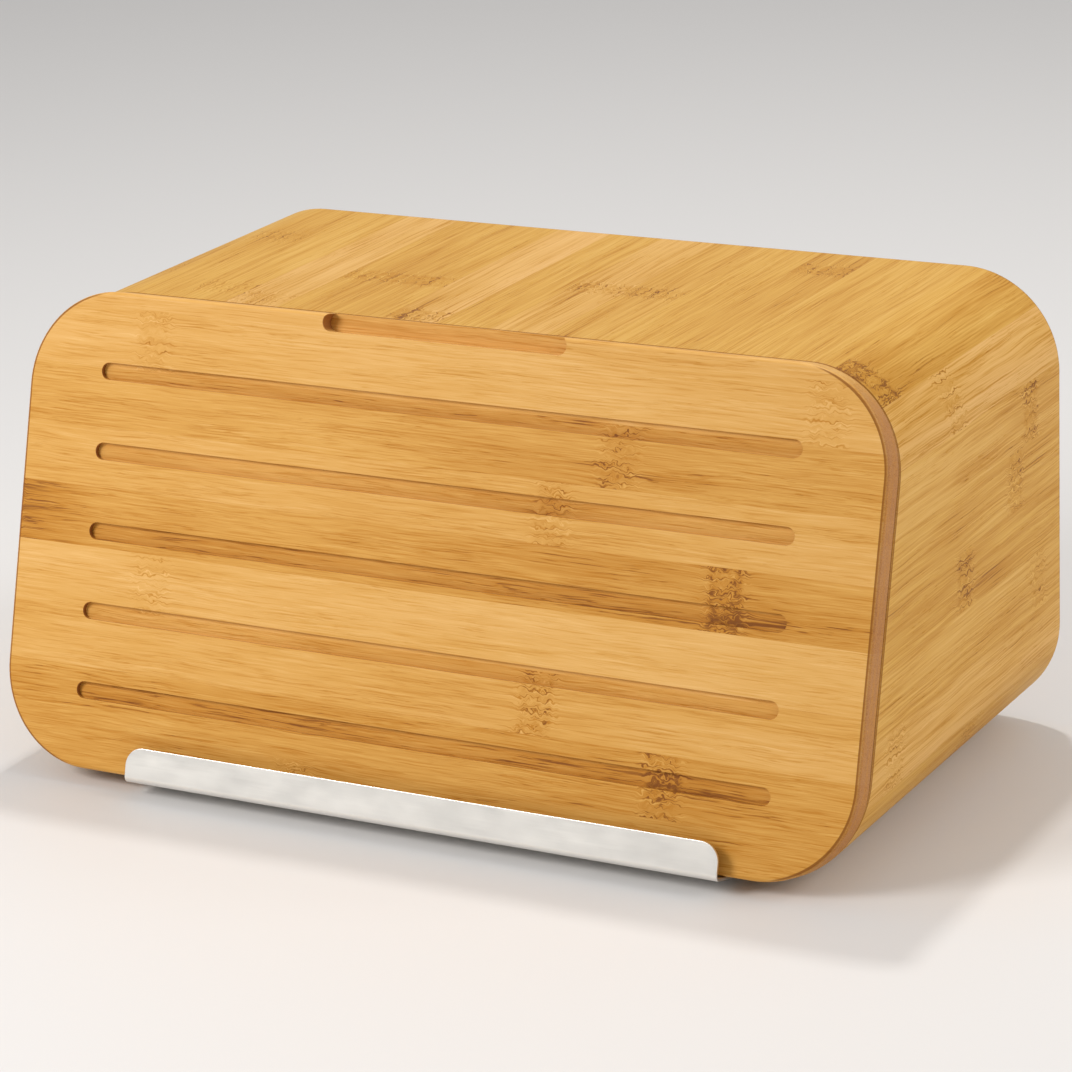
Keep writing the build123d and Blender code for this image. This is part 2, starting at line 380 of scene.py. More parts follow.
def copied(piece, name, shift):
    """A copy of a piece with its own mesh, moved along."""
    pick_up(piece)
    bpy.ops.object.duplicate(linked=False)
    copy = bpy.context.object
    copy.location = shift
    copy.name = name
    copy.data.name = name
    settle(copy)
    return copy


def smooth(piece, degrees=32):
    """Shade the rounded edges smooth and keep the flats flat."""
    pick_up(piece)
    bpy.ops.object.shade_smooth_by_angle(angle=math.radians(degrees))
    carry_out(piece, "WEIGHTED_NORMAL", mode="FACE_AREA", weight=50, keep_sharp=True)


def lay_grain(piece, rule):
    """Write the grain attribute: a rule gives way along, way across and depth for a point."""
    mesh = piece.data
    grain = mesh.attributes.new("grain", "FLOAT_VECTOR", "POINT")
    values = [part for point in mesh.vertices for part in rule(point.co)]
    grain.data.foreach_set("vector", values)


def reaches(piece, node):
    """Stop if a piece doesn't fill the space that its CAD node has."""
    points = [point.co for point in piece.data.vertices]
    for axis, (near, far) in enumerate(zip(*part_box(node))):
        low = near - min(point[axis] for point in points)
        high = far - max(point[axis] for point in points)
        if max(abs(low), abs(high)) > FIT:
            raise RuntimeError(f"{piece.name} is out by {low:.5f} and {high:.5f} m on axis {axis}")


def hand_over(piece, body, slot, material, *nodes):
    """Check a finished piece, give it its material and fix it to its body, in place of CAD nodes."""
    for node in nodes:
        reaches(piece, node)
    piece.data.materials.clear()
    piece.data.materials.append(material)
    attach(piece, body)
    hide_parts(*nodes)


def rim_foot():
    """Where the slanted rim meets the underside."""
    return Vector((0, SHELL_HIGH.y - settings("box").depth, SHELL_LOW.z))


def on_slant(out, up):
    """A point so far out in front of the rim and so far up along it."""
    return rim_foot() + OUTWARD * out + LIFT * up


# ---- shader maths


class Value:
    """A number in a material, which can be used in ordinary expressions."""

    def __init__(self, finish, socket):
        self.finish = finish
        self.socket = socket

    def sum(self, operation, *others, clamp=False):
        facts = {"operation": operation, "use_clamp": clamp}
        return self.finish.node("ShaderNodeMath", facts, dict(enumerate((self, *others))))

    def __add__(self, other):
        return self.sum("ADD", other)

    __radd__ = __add__

    def __sub__(self, other):
        return self.sum("SUBTRACT", other)

    def __rsub__(self, other):
        return self.finish.node("ShaderNodeMath", {"operation": "SUBTRACT"}, {0: other, 1: self})

    def __mul__(self, other):
        return self.sum("MULTIPLY", other)

    __rmul__ = __mul__

    def __truediv__(self, other):
        return self.sum("DIVIDE", other)

    def __abs__(self):
        return self.sum("ABSOLUTE")

    def floor(self):
        return self.sum("FLOOR")

    def fraction(self):
        return self.sum("FRACT")

    def held(self):
        """Kept between nought and one."""
        return self.sum("ADD", 0.0, clamp=True)

    def least(self, other):
        return self.sum("MINIMUM", other)

    def most(self, other):
        return self.sum("MAXIMUM", other)

    def fades(self, reach):
        """One at nought, falling away on both sides within a reach."""
        spread = self / reach
        return (spread * spread * -1.0).sum("EXPONENT")

    def rise(self, low, high):
        """Nought below low and one above high, with a soft slope between."""
        facts = {"interpolation_type": "SMOOTHSTEP", "clamp": True}
        inputs = {"Value": self, "From Min": low, "From Max": high}
        return self.finish.node("ShaderNodeMapRange", facts, inputs)


class Finish:
    """A material in the making."""

    def __init__(self, name):
        self.material = bpy.data.materials.new(name)
        self.material.use_nodes = True
        self.nodes = self.material.node_tree.nodes
        self.links = self.material.node_tree.links
        self.nodes.clear()

    def node(self, kind, facts=None, inputs=None, output=0):
        """Add a node, set it, then feed its sockets with numbers, colours or links.

        It gives back one output, or all of them where output is None.
        """
        made = self.nodes.new(kind)
        for name, value in (facts or {}).items():
            if name == "stops":
                self.lay_stops(made.color_ramp, value)
            elif name == "ramp":
                made.color_ramp.interpolation = value
            else:
                setattr(made, name, value)
        for name, value in (inputs or {}).items():
            if isinstance(value, Value):
                self.links.new(value.socket, made.inputs[name])
            elif isinstance(value, bpy.types.NodeSocket):
                self.links.new(value, made.inputs[name])
            else:
                made.inputs[name].default_value = value
        if output is None:
            return [self.handled(socket) for socket in made.outputs]
        return self.handled(made.outputs[output])

    def handled(self, socket):
        """A number ready for expressions, or a colour or vector as it is."""
        return Value(self, socket) if socket.type == "VALUE" else socket

    def lay_stops(self, ramp, stops):
        """Set a colour ramp's stops."""
        while len(ramp.elements) > 1:
            ramp.elements.remove(ramp.elements[-1])
        for place, colour in stops:
            if place > 0:
                ramp.elements.new(place)
        for element, (place, colour) in zip(ramp.elements, stops):
            element.position = place
            element.color = (*colour, 1.0)[:4]

    def split(self, vector):
        """The three parts of a vector."""
        return self.node("ShaderNodeSeparateXYZ", None, {0: vector}, None)

    def place(self):
        """Where a point is on the object, in millimetres."""
        place = self.node("ShaderNodeTexCoord", None, None, "Object")
        return [part * (1 / MM) for part in self.split(place)]

    def joined(self, x, y, z):
        """A vector from three numbers."""
        return self.node("ShaderNodeCombineXYZ", None, {0: x, 1: y, 2: z})

    def noise(self, x, y, z, detail=2.0, roughness=0.5):
        """Soft noise at a place, one unit to a blob, about a half on average."""
        place = self.joined(x, y, z)
        inputs = {"Vector": place, "Scale": 1.0, "Detail": detail, "Roughness": roughness}
        return self.node("ShaderNodeTexNoise", {"noise_dimensions": "3D"}, inputs)

    def mix(self, amount, first, second):
        """One colour over another."""
        facts = {"data_type": "RGBA", "blend_type": "MIX", "clamp_factor": True}
        return self.node("ShaderNodeMix", facts, {0: amount, 6: opaque(first), 7: opaque(second)}, 2)

    def close(self, inputs, height=None):
        """End with a Principled surface, and a bump where there is a height in millimetres."""
        if height is not None:
            facts = {"Height": height, "Distance": MM, "Strength": 1.0}
            inputs = {**inputs, "Normal": self.node("ShaderNodeBump", None, facts)}
        surface = self.node("ShaderNodeBsdfPrincipled", None, inputs)
        self.node("ShaderNodeOutputMaterial", None, {"Surface": surface}, None)
        return self.material


def opaque(colour):
    """A colour with full alpha, or a link as it is."""
    return colour if isinstance(colour, bpy.types.NodeSocket) else (*colour, 1.0)[:4]


# ---- bamboo

# One row for each glued strip: tone, blush (partly a painted sheen, strongest on the wrap's strip over the
# top right bend), place of its knuckle along the strip in millimetres, and how strong the knuckle is.
BOARD_STRIPS = (
    (0.44, 0.0, -50, 0.40),
    (0.46, 0.0, 110, 0.62),
    (0.66, 0.1, 54, 0.60),
    (0.76, 0.1, -124, 0.30),
    (0.47, 0.0, 129, 0.85),
    (0.66, 0.1, 54, 0.45),
    (0.52, 0.0, 80, 0.45),
    (0.74, 0.1, -132, 0.40),
    (0.68, 0.1, 20, 0.0),
)
BOARD_EXTRA = ((7, 164, 0.40), (4, -198, 1.6))
BOARD_FIRST = -6.9

WRAP_STRIPS = (
    (0.53, 0.0, 60, 0.3),
    (0.56, 0.0, -20, 0.3),
    (0.56, 0.9, -30, 0.3),
    (0.52, 0.0, 15, 0.5),
    (0.52, 0.0, 15, 0.6),
    (0.56, 0.8, -32, 0.6),
    (0.53, 0.0, 96, 0.0),
    (0.56, 0.6, 28, 0.5),
    (0.50, 0.1, 28, 0.5),
    (0.56, 0.0, -90, 0.0),
    (0.49, 0.0, 82, 0.5),
    (0.54, 0.0, -80, 0.3),
    (0.56, 0.0, 60, 0.0),
    (0.49, 0.1, -35, 0.8),
    # this strip lies over the top right bend; its strong blush is a painted sheen
    (0.52, 0.9, 6, 0.3),
    (0.56, 0.3, 77, 0.6),
    (0.52, 0.1, 61, 0.5),
    (0.48, 0.0, 9, 0.6),
    (0.54, 0.2, 84, 0.3),
    (0.53, 0.6, -60, 0.3),
    (0.50, 0.0, 20, 0.4),
    (0.56, 0.1, -10, 0.3),
    (0.52, 0.2, 50, 0.4),
    (0.56, 0.0, 0, 0.3),
)
WRAP_FIRST = -10 - 6 * STRIP / MM

BACK_STRIPS = (
    (0.55, 0.0, -60, 0.4),
    (0.68, 0.1, 120, 0.5),
    (0.48, 0.0, 30, 0.7),
    (0.60, 0.5, -130, 0.4),
    (0.52, 0.0, 90, 0.5),
    (0.70, 0.1, -20, 0.4),
    (0.45, 0.0, 140, 0.6),
    (0.62, 0.2, -90, 0.4),
)
BACK_FIRST = 3.0

FLOOR_STRIPS = (
    (0.50, 0.0, -40, 0.5),
    (0.64, 0.2, 60, 0.4),
    (0.46, 0.0, 10, 0.6),
    (0.58, 0.0, -80, 0.4),
    (0.52, 0.4, 85, 0.5),
    (0.66, 0.0, -10, 0.4),
    (0.48, 0.0, 40, 0.6),
    (0.60, 0.1, -60, 0.4),
    (0.55, 0.0, 20, 0.4),
)
FLOOR_FIRST = -4.5 * STRIP / MM

# Furthest place of a knuckle from the middle, in millimetres.
FURTHEST = 250.0


def bamboo(name, strips, first, extra=(), ends=ACROSS, face=None, streaky=0.42, reach=1.0,
           seed=0.0, tint=(1, 1, 1)):
    """Glued bamboo strips with fibres, streaks, pores and knuckles, read from the grain attribute.

    ends is the way the fibres run in the piece, so that cut ends can be told from long grain.
    face is the way a board's front looks; the floors of cuts into it are darkened, as painted shade
    together with the darker fibres below the skin.
    streaky is how much the streaks show, and reach draws the fibres out longer.
    """
    look = settings("bamboo")
    pale, honey, caramel, umber, blush_and_sheen_tone, end = (
        [part * share_of for part, share_of in zip(colour, tint)]
        for colour in (look.pale, look.honey, look.caramel, look.umber, look.blush_and_sheen, look.end))
    width = look.strip / MM
    f = Finish(name)
    grain = f.node("ShaderNodeAttribute", {"attribute_name": "grain"}, None, 1)
    along, across, deep = [part * (1 / MM) for part in f.split(grain)]

    # which strip, and what its row says
    edge = f.noise(along / 40, across / 9, seed, 1.0) - 0.5
    row = (across - first + edge * 0.5) / width
    index = row.floor()
    within = row.fraction()
    stops = []
    for i, (strip_tone, blush_and_sheen, place, strength) in enumerate(strips):
        stops.append((i / len(strips), (strip_tone, (place + FURTHEST) / (2 * FURTHEST), strength)))
    pinks = [(i / len(strips), (blush_and_sheen, blush_and_sheen, blush_and_sheen)) for i, (_, blush_and_sheen, _, _) in enumerate(strips)]
    spot = ((index + 0.5) / len(strips)).fraction()
    card = f.node("ShaderNodeValToRGB", {"ramp": "CONSTANT", "stops": stops}, {0: spot})
    strip_tone, place, strength = f.split(card)
    pink = f.split(f.node("ShaderNodeValToRGB", {"ramp": "CONSTANT", "stops": pinks}, {0: spot}))[0]
    place = place * (2 * FURTHEST) - FURTHEST
    dice = f.node("ShaderNodeTexWhiteNoise", {"noise_dimensions": "1D"}, {"W": index + (seed + 0.37)})
    own = along + dice * 700

    # knuckles: a patch as wide as the strip with ragged sides, darker rims and a fading shoulder
    ragged = (f.noise(across / 3.4, index, seed, 2.0, 0.6) - 0.5) * 9
    patch, rim, shoulder, near = None, None, None, None
    for where, much in [(place, strength)] + [
            (spot_at, (abs(index - strip) * -1.0 + 1.0).held() * force) for strip, spot_at, force in extra]:
        off = along - where + ragged
        size_of = abs(off)
        found = (
            (1 - size_of.rise(2.5, 8.5)) * much,
            (size_of - 5.5).fades(1.4) * much * much,
            ((off + 30).fades(52) * 0.7 + (off - 14).fades(26) * 0.8) * much,
            (1 - size_of.rise(5.0, 13.0)) * (much * 0.6 + 0.4) * much.rise(0.0, 0.1))
        if patch is None:
            patch, rim, shoulder, near = found
        else:
            patch, rim, shoulder, near = (
                old.most(more) for old, more in zip((patch, rim, shoulder, near), found))

    # fibres wander a little, more so at a knuckle
    sway = (f.noise(own / 52, across / 20, index, 1.0) - 0.5) * 2.2
    sway = sway + (f.noise(own / 15, across / 5, index + 4.4, 1.0) - 0.5) * 0.8
    curl = f.noise(own / 3.6, across / 3.2, deep / 5 + seed, 1.5) - 0.5
    side = across + sway + curl * near * 9.0

    # tone: the strip's own, slow drift, streaks, fibres
    drift = f.noise(own / 90, side / 15, index * 3.7, 2.0) - 0.5
    streak = f.noise(own / (62 * reach), side / 2.3, deep / 2.5 + index * 5.1, 2.0, 0.55) - 0.5
    fibre = f.noise(own / (22 * reach), side / 0.66, deep / 0.66 + index * 9.3, 1.6, 0.6)
    hair = f.noise(own / (9 * reach), side / 0.34, deep / 0.34 + seed, 1.0) - 0.5
    dark_lines = fibre.rise(0.55, 0.66)
    light_lines = (1 - fibre).rise(0.57, 0.68)
    shade = strip_tone + drift * 0.40 + streak * streaky + hair * 0.16 + (fibre - 0.5) * -0.20
    shade = shade - dark_lines * (0.15 + near * 0.22) + light_lines * (0.12 + near * 0.20)
    gathered = f.noise(own / 60, side / 6.0, index * 2.3 + 8.0, 1.0)
    contour = f.noise(own / (44 * reach), side / 1.25, deep / 1.25 + index * 4.1 + 2.2, 1.0)
    thin = (1 - abs(contour - 0.5).rise(0.012, 0.055)) * (gathered.rise(0.36, 0.62) * 0.8 + 0.2)
    shade = shade - thin * 0.17

    # commas inside a knuckle, dark and light
    comma = f.noise(along / 3.1 + curl * 1.5, (across + curl * 5) / 1.5, deep / 2 + seed, 1.4)
    seen = patch.rise(0.0, 0.9)
    pits = comma.rise(0.57, 0.66) * seen
    glints = (1 - comma).rise(0.58, 0.66) * seen
    shade = shade - patch * 0.13 - rim * 0.20 - shoulder * 0.17 - pits * 0.22 + glints * 0.13

    # pores: short dark dashes along the fibres, gathered in some streaks
    dash = f.noise(own / 6.5, side / 0.45, deep / 0.45 + 3.3 + seed, 1.0)
    pores = dash.rise(0.62, 0.72) * gathered.rise(0.40, 0.60)
    shade = shade - pores * 0.15

    # glue lines between the strips
    joint = within.least(1 - within) * width
    seam = (1 - joint.rise(0.05, 0.30)) * (0.4 + streak)
    shade = shade - seam * 0.12

    # the floors of cuts into the face are darkened by depth: painted shade in the grooves and the finger
    # recess, together with the browner fibres under the skin
    normal = f.node("ShaderNodeTexCoord", None, None, "Normal")
    if face is not None:
        fronting = f.node("ShaderNodeVectorMath", {"operation": "DOT_PRODUCT"}, {0: normal, 1: face}, 1)
        cut_floor_shade = fronting.rise(0.05, 0.5) * (deep.rise(0.3, 1.7) * 0.7 + deep.rise(2.2, 6.0) * 0.5)
        shade = shade - cut_floor_shade * 0.19
    shade = shade.held()

    colour = f.node("ShaderNodeValToRGB", {"stops": (
        (0.0, umber), (0.16, caramel), (0.58, honey), (1.0, pale))}, {0: shade})
    # pinkish tint of the blushed strips, partly a painted sheen
    colour = f.mix(pink * (0.42 + drift * 0.9) * shade.rise(0.25, 0.6), colour, blush_and_sheen_tone)

    # cut ends are darker and browner, with a painted shade line along the arris where they start; long
    # edges are paler, partly from wear and partly a painted highlight
    lengthways = abs(f.node("ShaderNodeVectorMath", {"operation": "DOT_PRODUCT"}, {0: normal, 1: ends}, 1))
    cut_end = lengthways.rise(0.32, 0.88)
    specks = f.noise(along / 3, across / 0.6, deep / 0.6, 2.0)
    plies = f.noise(along / 9, across / 26, deep / 1.9, 1.0)
    bundles = f.noise(along / 4, across / 0.42, deep / 0.42 + 5, 1.0)
    end_tone = f.mix(((specks - 0.35) * 1.4 + (plies - 0.5) * 1.6).held(), end, caramel)
    end_tone = f.mix(bundles.rise(0.54, 0.70) * 0.55, end_tone, umber)
    end_tone = f.mix((1 - bundles).rise(0.58, 0.72) * 0.35, end_tone, honey)
    colour = f.mix(cut_end * 0.85, colour, end_tone)
    # a dark band on the rounded edge where the cut ends begin: painted shade
    arris_shade = lengthways.rise(0.08, 0.20) * (1 - lengthways.rise(0.40, 0.70))
    if face is not None:
        # the rounded ends of the grooves and the finger recess are darkened towards umber: painted shade in
        # the slot ends
        slot_end = (SHELL_HIGH.x - settings("board").groove_margin) / MM
        slot_end_shade = cut_end * (1 - abs(along).rise(slot_end + 1.8, slot_end + 5.8)) * deep.rise(0.2, 0.8)
        colour = f.mix(slot_end_shade * 0.72, colour, umber)
        upright = abs(fronting)
        arris_shade = arris_shade * upright.rise(0.5, 0.75)
        # the board's long arrises are paler in patches: partly wear, partly a painted highlight on the
        # rounded edges
        arris = upright.rise(0.15, 0.5) * (1 - upright.rise(0.75, 0.97)) * (1 - lengthways.rise(0.2, 0.5))
        handled = f.noise(along / 14, across / 14, deep / 3, 2.0).rise(0.3, 0.7)
        colour = f.mix(arris * handled * 0.35, colour, pale)

    # lay the painted shade line along the arrises
    colour = f.mix(arris_shade * 0.85, colour, umber)

    rough = 0.47 + (fibre - 0.5) * 0.16 + pores * 0.15 + patch * 0.08 + cut_end * 0.10 - streak * 0.06
    height = (fibre - 0.5) * -0.030 + hair * 0.012 + streak * 0.025 - pores * 0.03 - seam * 0.04
    height = height + curl * near * 0.05 - pits * 0.04 + glints * 0.03
    height = height - cut_end * bundles * 0.05 - thin * 0.02
    return f.close({"Base Color": colour, "Roughness": rough.held(), "IOR": 1.45,
                    "Specular IOR Level": 0.22}, height)


# ---- steel and rubber


def satin_steel(name):
    """Stainless sheet with a fine satin finish along its length and a faint cloudiness."""
    look = settings("metal")
    f = Finish(name)
    x, y, z = f.place()
    cloud = f.noise(x / 17, y / 9, z / 9, 3.0) - 0.5
    brush = f.noise(x / 26, y / 0.16, z / 0.16, 3.0, 0.6) - 0.5
    pepper = f.noise(x / 0.8, y / 0.8, z / 0.8, 1.0) - 0.5
    worn = f.noise(x / 60, y / 12, z / 12, 2.0)
    bright = (0.5 + cloud * 0.6 + brush * 0.40).held()
    dull = [part * 0.90 for part in look.steel]
    clean = [min(1, part * 1.06) for part in look.steel]
    colour = f.mix(bright, dull, clean)
    rough = 0.34 + cloud * 0.16 + brush * 0.14 + worn.rise(0.55, 0.75) * 0.06
    height = brush * 0.004 + pepper * 0.002 + cloud * 0.02
    return f.close({"Base Color": colour, "Metallic": 1.0, "Roughness": rough.held()}, height)


def screw_steel(name):
    """Zinc-bright screw steel, a little clouded."""
    look = settings("metal")
    f = Finish(name)
    x, y, z = f.place()
    cloud = f.noise(x / 2.2, y / 2.2, z / 2.2, 3.0)
    scuff = f.noise(x / 0.35, y / 0.35, z / 0.35, 2.0)
    colour = f.mix(cloud, [part * 0.72 for part in look.screw], look.screw)
    rough = 0.24 + cloud * 0.16 + scuff.rise(0.5, 0.7) * 0.12
    return f.close({"Base Color": colour, "Metallic": 1.0, "Roughness": rough}, scuff * 0.006)


def foot_rubber(name):
    """Matt black rubber with a fine moulded grain and a dusty look."""
    look = settings("metal")
    f = Finish(name)
    x, y, z = f.place()
    grit = f.noise(x / 0.35, y / 0.35, z / 0.35, 3.0, 0.6)
    dust = f.noise(x / 3.5, y / 3.5, z / 3.5, 3.0)
    colour = f.mix(dust.rise(0.45, 0.8) * 0.5, look.rubber, [part * 2.6 + 0.02 for part in look.rubber])
    rough = 0.66 + grit * 0.22
    return f.close({"Base Color": colour, "Roughness": rough, "IOR": 1.5}, grit * 0.05)


# ---- the shell, its floor and its back


def round_the_wrap(point):
    """Grain of the bent wrap: along y, across is the way round from the middle of the top."""
    body = settings("box")
    centre = (SHELL_LOW.z + SHELL_HIGH.z) / 2
    half_x = SHELL_HIGH.x - body.corner
    half_z = (SHELL_HIGH.z - SHELL_LOW.z) / 2 - body.corner
    x, z = abs(point.x), point.z - centre
    bend = body.corner * math.pi / 2
    if z > half_z and x > half_x:
        angle = math.atan2(x - half_x, z - half_z)
        way = half_x + body.corner * angle
        deep = body.corner - math.hypot(x - half_x, z - half_z)
    elif z >= half_z:
        way, deep = x, body.corner + half_z - z
    elif z > -half_z:
        way, deep = half_x + bend + half_z - z, body.corner + half_x - x
    elif x > half_x:
        angle = math.atan2(-half_z - z, x - half_x)
        way = half_x + bend + 2 * half_z + body.corner * angle
        deep = body.corner - math.hypot(x - half_x, z + half_z)
    else:
        way, deep = half_x + 2 * bend + 2 * half_z + half_x - x, z + half_z + body.corner
    return point.y, math.copysign(way, point.x), deep


def rounded_slab(name, inset, front, rear):
    """A slab across the box with the shell's outline, brought in by an inset."""
    low = (SHELL_LOW.x + inset, front, SHELL_LOW.z + inset)
    high = (SHELL_HIGH.x - inset, rear, SHELL_HIGH.z - inset)
    slab = blank(name, low, high)
    round_corners(slab, TO_REAR, settings("box").corner - inset, BEND_STEPS)
    return slab


def on_rim(place):
    """Whether a point lies in the plane of the slanted rim."""
    return abs((place - rim_foot()).dot(OUTWARD)) < TOUCH


def turned_out(edge, centre):
    """Whether an edge borders the outside of the shell."""
    for face in edge.link_faces:
        middle_of = centre_of(face)
        away = Vector((middle_of.x, 0, middle_of.z - centre))
        if abs(face.normal.y) < 0.2 and face.normal.dot(away) > 0:
            return True
    return False


def slice_on_slant(piece):
    """Cut a piece off along the plane of the slanted rim."""
    work_on(piece)
    bpy.ops.mesh.select_all(action="SELECT")
    bpy.ops.mesh.bisect(plane_co=rim_foot(), plane_no=OUTWARD, use_fill=True, clear_outer=True)
    put_down()


def round_ends(piece):
    """Round the outer and inner edges of the slanted rim and of the rear edge."""
    body = settings("box")
    centre = (SHELL_LOW.z + SHELL_HIGH.z) / 2
    rear = SHELL_HIGH.y

    def at_rim(edge):
        return all(on_rim(corner.co) for corner in edge.verts) and sharp(edge, 50)

    def at_rear(edge):
        return all(abs(corner.co.y - rear) < TOUCH for corner in edge.verts) and sharp(edge, 50)

    for found, outer, width in (
        (at_rim, True, body.rim_arris), (at_rear, True, body.rear_arris),
        (at_rim, False, body.inner_arris), (at_rear, False, body.inner_arris),
    ):
        round_off(piece, "EDGE", width, ARRIS_STEPS if outer else FINE_STEPS,
                  lambda edge: found(edge) and turned_out(edge, centre) == outer)


def foot_centres():
    """Centre of each foot on the underside."""
    return {name: (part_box(name)[0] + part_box(name)[1]) / 2 for name in FEET}


def lip_screw_centres():
    """Centres of the screws that hold the lip, in a row along it."""
    low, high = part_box("lip_screws")
    radius = settings("lip").head / 2
    step = (high.x - low.x - 2 * radius) / 3
    return [Vector((low.x + radius + step * i, (low.y + high.y) / 2, SHELL_LOW.z)) for i in range(4)]


def drill(piece, centres):
    """Drill pilot holes up into the underside."""
    body = settings("box")
    pegs = []
    for centre in centres:
        place = (centre.x, centre.y, SHELL_LOW.z + body.bite - DRILL / 2)
        pegs.append(peg("drill", place, body.pilot / 2, DRILL, sides=20))
    cut(piece, gather(pegs))


def opened(tube):
    """Take the two ends off a solid tube, and the part of its underside that the floor fills."""
    body = settings("box")
    half = SHELL_HIGH.x - body.corner - body.stub + body.glue_gap
    work_on(tube)
    choose(tube, "FACE", lambda face: abs(face.normal.y) > ALIGNED)
    bpy.ops.mesh.delete(type="FACE")
    for way in (-1, 1):
        choose(tube, "FACE", lambda face: faces_way(face, -UPWARD))
        bpy.ops.mesh.bisect(plane_co=(way * half, 0, 0), plane_no=ACROSS)
    choose(tube, "FACE", lambda face: faces_way(face, -UPWARD) and abs(centre_of(face).x) < half / 2)
    bpy.ops.mesh.delete(type="FACE")
    put_down()


class BREADBOX_OT_wrap(bpy.types.Operator):
    """Bend the wrap, slice its rim, house its back and floor, and round its edges."""

    bl_idname = "bread_box.wrap"
    bl_label = "Bamboo wrap"
    bl_options = {"REGISTER", "UNDO"}

    def execute(self, context):
        body = settings("box")
        run = SHELL_LOW.z + OVERRUN
        wrap = rounded_slab("bamboo_wrap", 0, rim_foot().y - run, SHELL_HIGH.y)
        opened(wrap)
        carry_out(wrap, "SOLIDIFY", thickness=body.wall, offset=-1, use_even_offset=True)
        slice_on_slant(wrap)
        round_ends(wrap)
        inset = body.wall - body.back_groove
        cut(wrap, rounded_slab("groove", inset, PANEL_LOW.y - body.glue_gap, PANEL_HIGH.y + body.glue_gap))
        half = (FLOOR_HIGH.x - FLOOR_LOW.x) / 2 + body.glue_gap
        level = SHELL_LOW.z + body.wall / 2
        thick = body.tongue / 2 + body.glue_gap
        low = (-half, rim_foot().y - run, level - thick)
        cut(wrap, blank("tongue_way", low, (half, SHELL_HIGH.y + run, level + thick)))
        drill(wrap, foot_centres().values())
        close_slivers(wrap)
        lay_grain(wrap, round_the_wrap)
        smooth(wrap)
        material = bamboo("bamboo_wrap", WRAP_STRIPS, WRAP_FIRST, ends=TO_REAR, streaky=0.62, reach=2.0,
                          seed=4.0, tint=(0.96, 1.02, 0.88))
        hand_over(wrap, "box", "bamboo_wrap", material, "shell")
        return {"FINISHED"}


class BREADBOX_OT_floor_panel(bpy.types.Operator):
    """Floor panel with a tongue on each side, sliced with the rim and drilled for the lip."""

    bl_idname = "bread_box.floor_panel"
    bl_label = "Floor panel"
    bl_options = {"REGISTER", "UNDO"}

    def execute(self, context):
        body = settings("box")
        half = SHELL_HIGH.x - body.corner - body.stub
        high = (half, SHELL_HIGH.y, SHELL_LOW.z + body.wall)
        floor = blank("base_panel", (-half, rim_foot().y - OVERRUN, SHELL_LOW.z), high)
        level = SHELL_LOW.z + body.wall / 2
        work_on(floor)
        for way in (-1, 1):
            bpy.ops.mesh.select_all(action="SELECT")
            bpy.ops.mesh.bisect(plane_co=(0, 0, level + way * body.tongue / 2), plane_no=UPWARD)
        for way in (-1, 1):
            side = ACROSS * way

            def middle_side(face):
                return faces_way(face, side) and abs(centre_of(face).z - level) < body.tongue / 4

            choose(floor, "FACE", middle_side)
            reach = (FLOOR_HIGH.x - half) * way
            bpy.ops.mesh.extrude_region_move(TRANSFORM_OT_translate={"value": (reach, 0, 0)})
        put_down()
        slice_on_slant(floor)

        def underneath(edge):
            return runs(edge, ACROSS) and edge.verts[0].co.z < SHELL_LOW.z + TOUCH

        round_off(floor, "EDGE", body.rear_arris, ARRIS_STEPS,
                  lambda edge: underneath(edge) and abs(middle(edge).y - SHELL_HIGH.y) < TOUCH)
        round_off(floor, "EDGE", body.rim_arris, ARRIS_STEPS,
                  lambda edge: underneath(edge) and on_rim(middle(edge)))
        drill(floor, lip_screw_centres())
        lay_grain(floor, lambda point: (point.y, point.x, point.z - SHELL_LOW.z))
        smooth(floor)
        material = bamboo("bamboo_floor", FLOOR_STRIPS, FLOOR_FIRST, ends=TO_REAR, reach=1.5, seed=11.0)
        hand_over(floor, "box", "bamboo_panel", material, "floor_panel")
        return {"FINISHED"}


class BREADBOX_OT_back_panel(bpy.types.Operator):
    """Flat back with a row of sanded air holes."""

    bl_idname = "bread_box.back_panel"
    bl_label = "Back panel"
    bl_options = {"REGISTER", "UNDO"}

    def execute(self, context):
        body = settings("box")
        inset = PANEL_LOW.z - SHELL_LOW.z
        back = rounded_slab("back_panel", inset, PANEL_LOW.y, PANEL_HIGH.y)
        height = SHELL_HIGH.z - body.vent_drop
        pegs = []
        for i in range(body.vents):
            x = (i - (body.vents - 1) / 2) * body.vent_spacing
            place = (x, (PANEL_LOW.y + PANEL_HIGH.y) / 2, height)
            pegs.append(peg("vent", place, body.vent_width / 2, 0.05, (math.pi / 2, 0, 0), 40))
        cut(back, gather(pegs))
        round_off(back, "EDGE", body.inner_arris, FINE_STEPS,
                  lambda edge: sharp(edge) and abs(middle(edge).z - height) < body.vent_width)
        lay_grain(back, lambda point: (point.x, point.z, PANEL_HIGH.y - point.y))
        smooth(back)
        material = bamboo("bamboo_back", BACK_STRIPS, BACK_FIRST, seed=23.0)
        hand_over(back, "box", "bamboo_panel", material, "rear_panel")
        return {"FINISHED"}


# ---- the board


def slot_cutter(name, length, depth, low, high, face, floor_radius):
    """Round-ended cutter for a slot across the board, its floor's edge rounded."""
    reach = length / 2
    cutter = blank(name, (-reach, face - CLEAR, low), (reach, face + depth, high))
    round_corners(cutter, TO_REAR, (high - low) / 2 * NEARLY, SLOT_STEPS)
    work_on(cutter)
    choose(cutter, "FACE", lambda part: faces_way(part, TO_REAR))
    bevel(floor_radius, ARRIS_STEPS)
    bpy.ops.mesh.select_all(action="SELECT")
    bpy.ops.mesh.remove_doubles(threshold=MELT)
    put_down()
    return cutter


